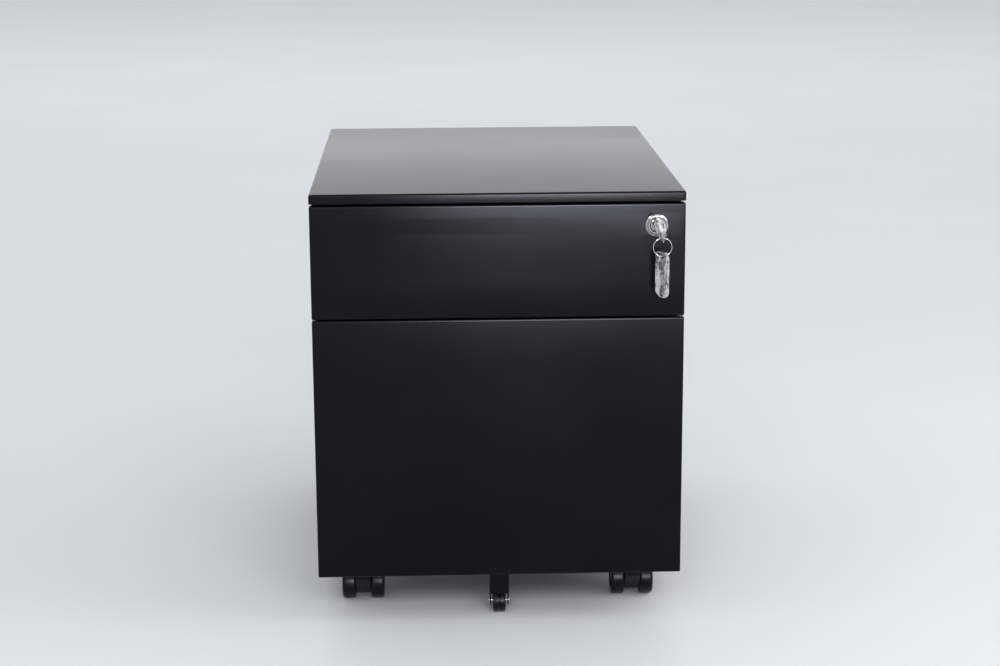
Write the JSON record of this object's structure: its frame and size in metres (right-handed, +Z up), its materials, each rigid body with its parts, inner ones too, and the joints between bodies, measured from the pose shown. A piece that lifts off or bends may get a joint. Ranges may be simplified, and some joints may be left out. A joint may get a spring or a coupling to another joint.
{
  "type": "rolling pedestal cabinet",
  "caption": "Rolling steel pedestal cabinet: a box drawer over a file drawer, a cam lock with its keys on a ring, swivel casters and an anti-tip wheel.",
  "frame": {"origin": "on the floor, under the middle of the whole object's box", "axes": "+X to the right of someone facing the drawers, -Y out of the drawer fronts towards that person, +Z up"},
  "size_m": [0.392, 0.5542, 0.47],
  "materials": {
    "powder_coat": "satin fine-texture black powder coat",
    "zinc_steel": "bright zinc-plated steel",
    "chrome": "polished chrome",
    "nickel_key": "nickel-plated brass key",
    "black_plastic": "semi-gloss black nylon",
    "rail_plastic": "matt black moulded plastic",
    "clear_film": "clear crinkled plastic film"
  },
  "bodies": {
    "carcass": {"top_panel": "powder_coat", "base_panel": "powder_coat", "back_panel": "powder_coat", "side_panel_left": "powder_coat", "side_panel_right": "powder_coat", "inner_side_left": "zinc_steel", "inner_side_right": "zinc_steel", "box_slide_outer_left": "zinc_steel", "box_slide_outer_right": "zinc_steel", "file_slide_outer_left": "zinc_steel", "file_slide_outer_right": "zinc_steel", "caster_front_left_mount": "zinc_steel", "caster_front_right_mount": "zinc_steel", "caster_rear_left_mount": "zinc_steel", "caster_rear_right_mount": "zinc_steel"},
    "lock_bar": {"lock_bar": "zinc_steel"},
    "box_slide_middles": {"box_slide_middle_left": "zinc_steel", "box_slide_middle_right": "zinc_steel"},
    "file_slide_middles": {"file_slide_middle_left": "zinc_steel", "file_slide_middle_right": "zinc_steel"},
    "box_drawer": {"box_drawer_front": "powder_coat", "box_drawer_liner": "powder_coat", "box_drawer_tray": "powder_coat", "box_slide_inner_left": "zinc_steel", "box_slide_inner_right": "zinc_steel", "lock_body": "chrome", "lock_nut": "zinc_steel"},
    "lock_plug": {"lock_plug": "chrome", "lock_cam": "zinc_steel"},
    "key": {"key": "nickel_key", "key_sleeve": "clear_film"},
    "key_ring": {"key_ring": "chrome"},
    "spare_key": {"spare_key": "nickel_key", "spare_key_sleeve": "clear_film"},
    "file_drawer": {"file_drawer_front": "powder_coat", "file_drawer_liner": "powder_coat", "file_drawer_tray": "powder_coat", "file_slide_inner_left": "zinc_steel", "file_slide_inner_right": "zinc_steel", "file_rail_left": "rail_plastic", "file_rail_right": "rail_plastic", "anti_tip_bracket": "powder_coat", "anti_tip_axle": "zinc_steel"},
    "anti_tip_wheel": {"anti_tip_wheel": "black_plastic"},
    "caster_front_left": {"caster_front_left_housing": "black_plastic", "caster_front_left_axle": "zinc_steel"},
    "caster_front_left_wheel_left": {"caster_front_left_wheel_left": "black_plastic"},
    "caster_front_left_wheel_right": {"caster_front_left_wheel_right": "black_plastic"},
    "caster_front_right": {"caster_front_right_housing": "black_plastic", "caster_front_right_axle": "zinc_steel"},
    "caster_front_right_wheel_left": {"caster_front_right_wheel_left": "black_plastic"},
    "caster_front_right_wheel_right": {"caster_front_right_wheel_right": "black_plastic"},
    "caster_rear_left": {"caster_rear_left_housing": "black_plastic", "caster_rear_left_axle": "zinc_steel"},
    "caster_rear_left_wheel_left": {"caster_rear_left_wheel_left": "black_plastic"},
    "caster_rear_left_wheel_right": {"caster_rear_left_wheel_right": "black_plastic"},
    "caster_rear_right": {"caster_rear_right_housing": "black_plastic", "caster_rear_right_axle": "zinc_steel"},
    "caster_rear_right_wheel_left": {"caster_rear_right_wheel_left": "black_plastic"},
    "caster_rear_right_wheel_right": {"caster_rear_right_wheel_right": "black_plastic"}
  },
  "joints": [
    {"name": "box_drawer_slide", "type": "slide", "parent": "carcass", "child": "box_drawer", "axis": [0, -1, 0], "range_m": [0, 0.4]},
    {"name": "box_middle_slide", "type": "slide", "parent": "carcass", "child": "box_slide_middles", "axis": [0, -1, 0], "range_m": [0, 0.2]},
    {"name": "file_drawer_slide", "type": "slide", "parent": "carcass", "child": "file_drawer", "axis": [0, -1, 0], "range_m": [0, 0.4]},
    {"name": "file_middle_slide", "type": "slide", "parent": "carcass", "child": "file_slide_middles", "axis": [0, -1, 0], "range_m": [0, 0.2]},
    {"name": "lock_turn", "type": "hinge", "parent": "box_drawer", "child": "lock_plug", "pos_m": [0.1653, -0.243, 0.4345], "axis": [0, -1, 0], "range_deg": [0, 90]},
    {"name": "lock_bar_lift", "type": "slide", "parent": "carcass", "child": "lock_bar", "axis": [0, 0, 1], "range_m": [0, 0.0101]},
    {"name": "key_withdraw", "type": "slide", "parent": "lock_plug", "child": "key", "axis": [0, -1, 0], "range_m": [0, 0.03]},
    {"name": "key_ring_swing", "type": "hinge", "parent": "key", "child": "key_ring", "pos_m": [0.16877, -0.268, 0.42239], "axis": [0, -1, 0], "range_deg": [-90.5, 0]},
    {"name": "spare_key_swing", "type": "hinge", "parent": "key_ring", "child": "spare_key", "pos_m": [0.16877, -0.268, 0.40604], "axis": [1, 0, 0], "range_deg": [-60, 12]},
    {"name": "anti_tip_roll", "type": "hinge", "parent": "file_drawer", "child": "anti_tip_wheel", "pos_m": [0, -0.213, 0.013], "axis": [1, 0, 0], "continuous": true},
    {"name": "caster_front_left_swivel", "type": "hinge", "parent": "carcass", "child": "caster_front_left", "pos_m": [-0.15, -0.178, 0.045], "axis": [0, 0, 1], "continuous": true},
    {"name": "caster_front_left_roll_left", "type": "hinge", "parent": "caster_front_left", "child": "caster_front_left_wheel_left", "pos_m": [-0.15, -0.161, 0.02], "axis": [1, 0, 0], "continuous": true},
    {"name": "caster_front_left_roll_right", "type": "hinge", "parent": "caster_front_left", "child": "caster_front_left_wheel_right", "pos_m": [-0.15, -0.161, 0.02], "axis": [1, 0, 0], "continuous": true},
    {"name": "caster_front_right_swivel", "type": "hinge", "parent": "carcass", "child": "caster_front_right", "pos_m": [0.15, -0.178, 0.045], "axis": [0, 0, 1], "continuous": true},
    {"name": "caster_front_right_roll_left", "type": "hinge", "parent": "caster_front_right", "child": "caster_front_right_wheel_left", "pos_m": [0.15, -0.161, 0.02], "axis": [1, 0, 0], "continuous": true},
    {"name": "caster_front_right_roll_right", "type": "hinge", "parent": "caster_front_right", "child": "caster_front_right_wheel_right", "pos_m": [0.15, -0.161, 0.02], "axis": [1, 0, 0], "continuous": true},
    {"name": "caster_rear_left_swivel", "type": "hinge", "parent": "carcass", "child": "caster_rear_left", "pos_m": [-0.15, 0.212, 0.045], "axis": [0, 0, 1], "continuous": true},
    {"name": "caster_rear_left_roll_left", "type": "hinge", "parent": "caster_rear_left", "child": "caster_rear_left_wheel_left", "pos_m": [-0.15, 0.195, 0.02], "axis": [1, 0, 0], "continuous": true},
    {"name": "caster_rear_left_roll_right", "type": "hinge", "parent": "caster_rear_left", "child": "caster_rear_left_wheel_right", "pos_m": [-0.15, 0.195, 0.02], "axis": [1, 0, 0], "continuous": true},
    {"name": "caster_rear_right_swivel", "type": "hinge", "parent": "carcass", "child": "caster_rear_right", "pos_m": [0.15, 0.212, 0.045], "axis": [0, 0, 1], "continuous": true},
    {"name": "caster_rear_right_roll_left", "type": "hinge", "parent": "caster_rear_right", "child": "caster_rear_right_wheel_left", "pos_m": [0.15, 0.195, 0.02], "axis": [1, 0, 0], "continuous": true},
    {"name": "caster_rear_right_roll_right", "type": "hinge", "parent": "caster_rear_right", "child": "caster_rear_right_wheel_right", "pos_m": [0.15, 0.195, 0.02], "axis": [1, 0, 0], "continuous": true}
  ],
  "couplings": [
    {"joint": "box_middle_slide", "follows": "box_drawer_slide", "ratio": 0.5},
    {"joint": "file_middle_slide", "follows": "file_drawer_slide", "ratio": 0.5},
    {"joint": "lock_bar_lift", "follows": "lock_turn", "m_per_rad": 0.0063662},
    {"joint": "key_ring_swing", "follows": "lock_turn", "ratio": -1}
  ]
}
